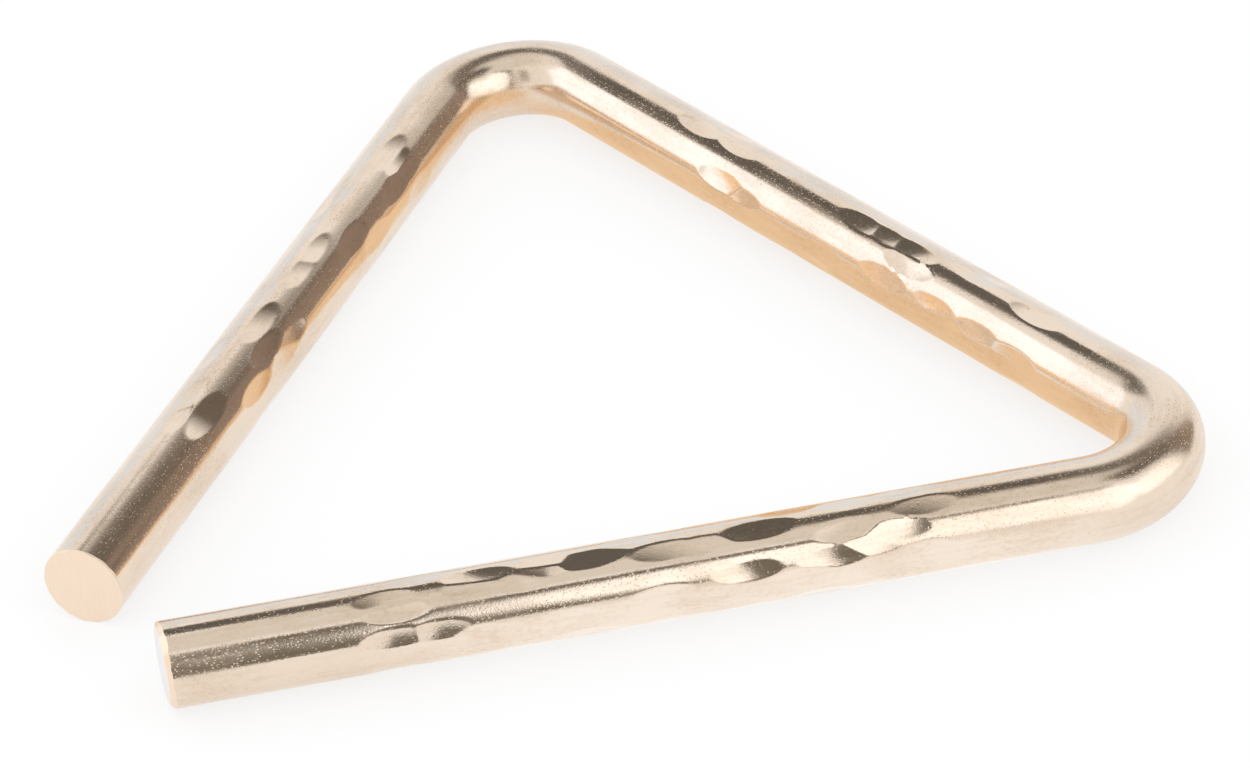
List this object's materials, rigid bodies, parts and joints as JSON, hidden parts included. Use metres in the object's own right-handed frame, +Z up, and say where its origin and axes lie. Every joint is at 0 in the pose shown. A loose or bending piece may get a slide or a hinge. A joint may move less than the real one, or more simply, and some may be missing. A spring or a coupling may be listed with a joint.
{
  "type": "triangle instrument",
  "caption": "Hand-hammered bronze triangle: a round bar bent to an equilateral outline with one open corner, hung by a bend and struck to ring.",
  "frame": {"origin": "on the surface that the bar lies on, under the middle of the bar's bounding box", "axes": "+X along the closed leg from the left bend to the right bend, +Y from the open corner towards the closed leg, +Z up, square to the triangle's plane"},
  "size_m": [0.1728, 0.147, 0.0127],
  "materials": {
    "polished_bronze": "polished, hand-hammered, with fine scratches and pits"
  },
  "bodies": {
    "root": {"triangle_bar": "polished_bronze"}
  },
  "joints": []
}
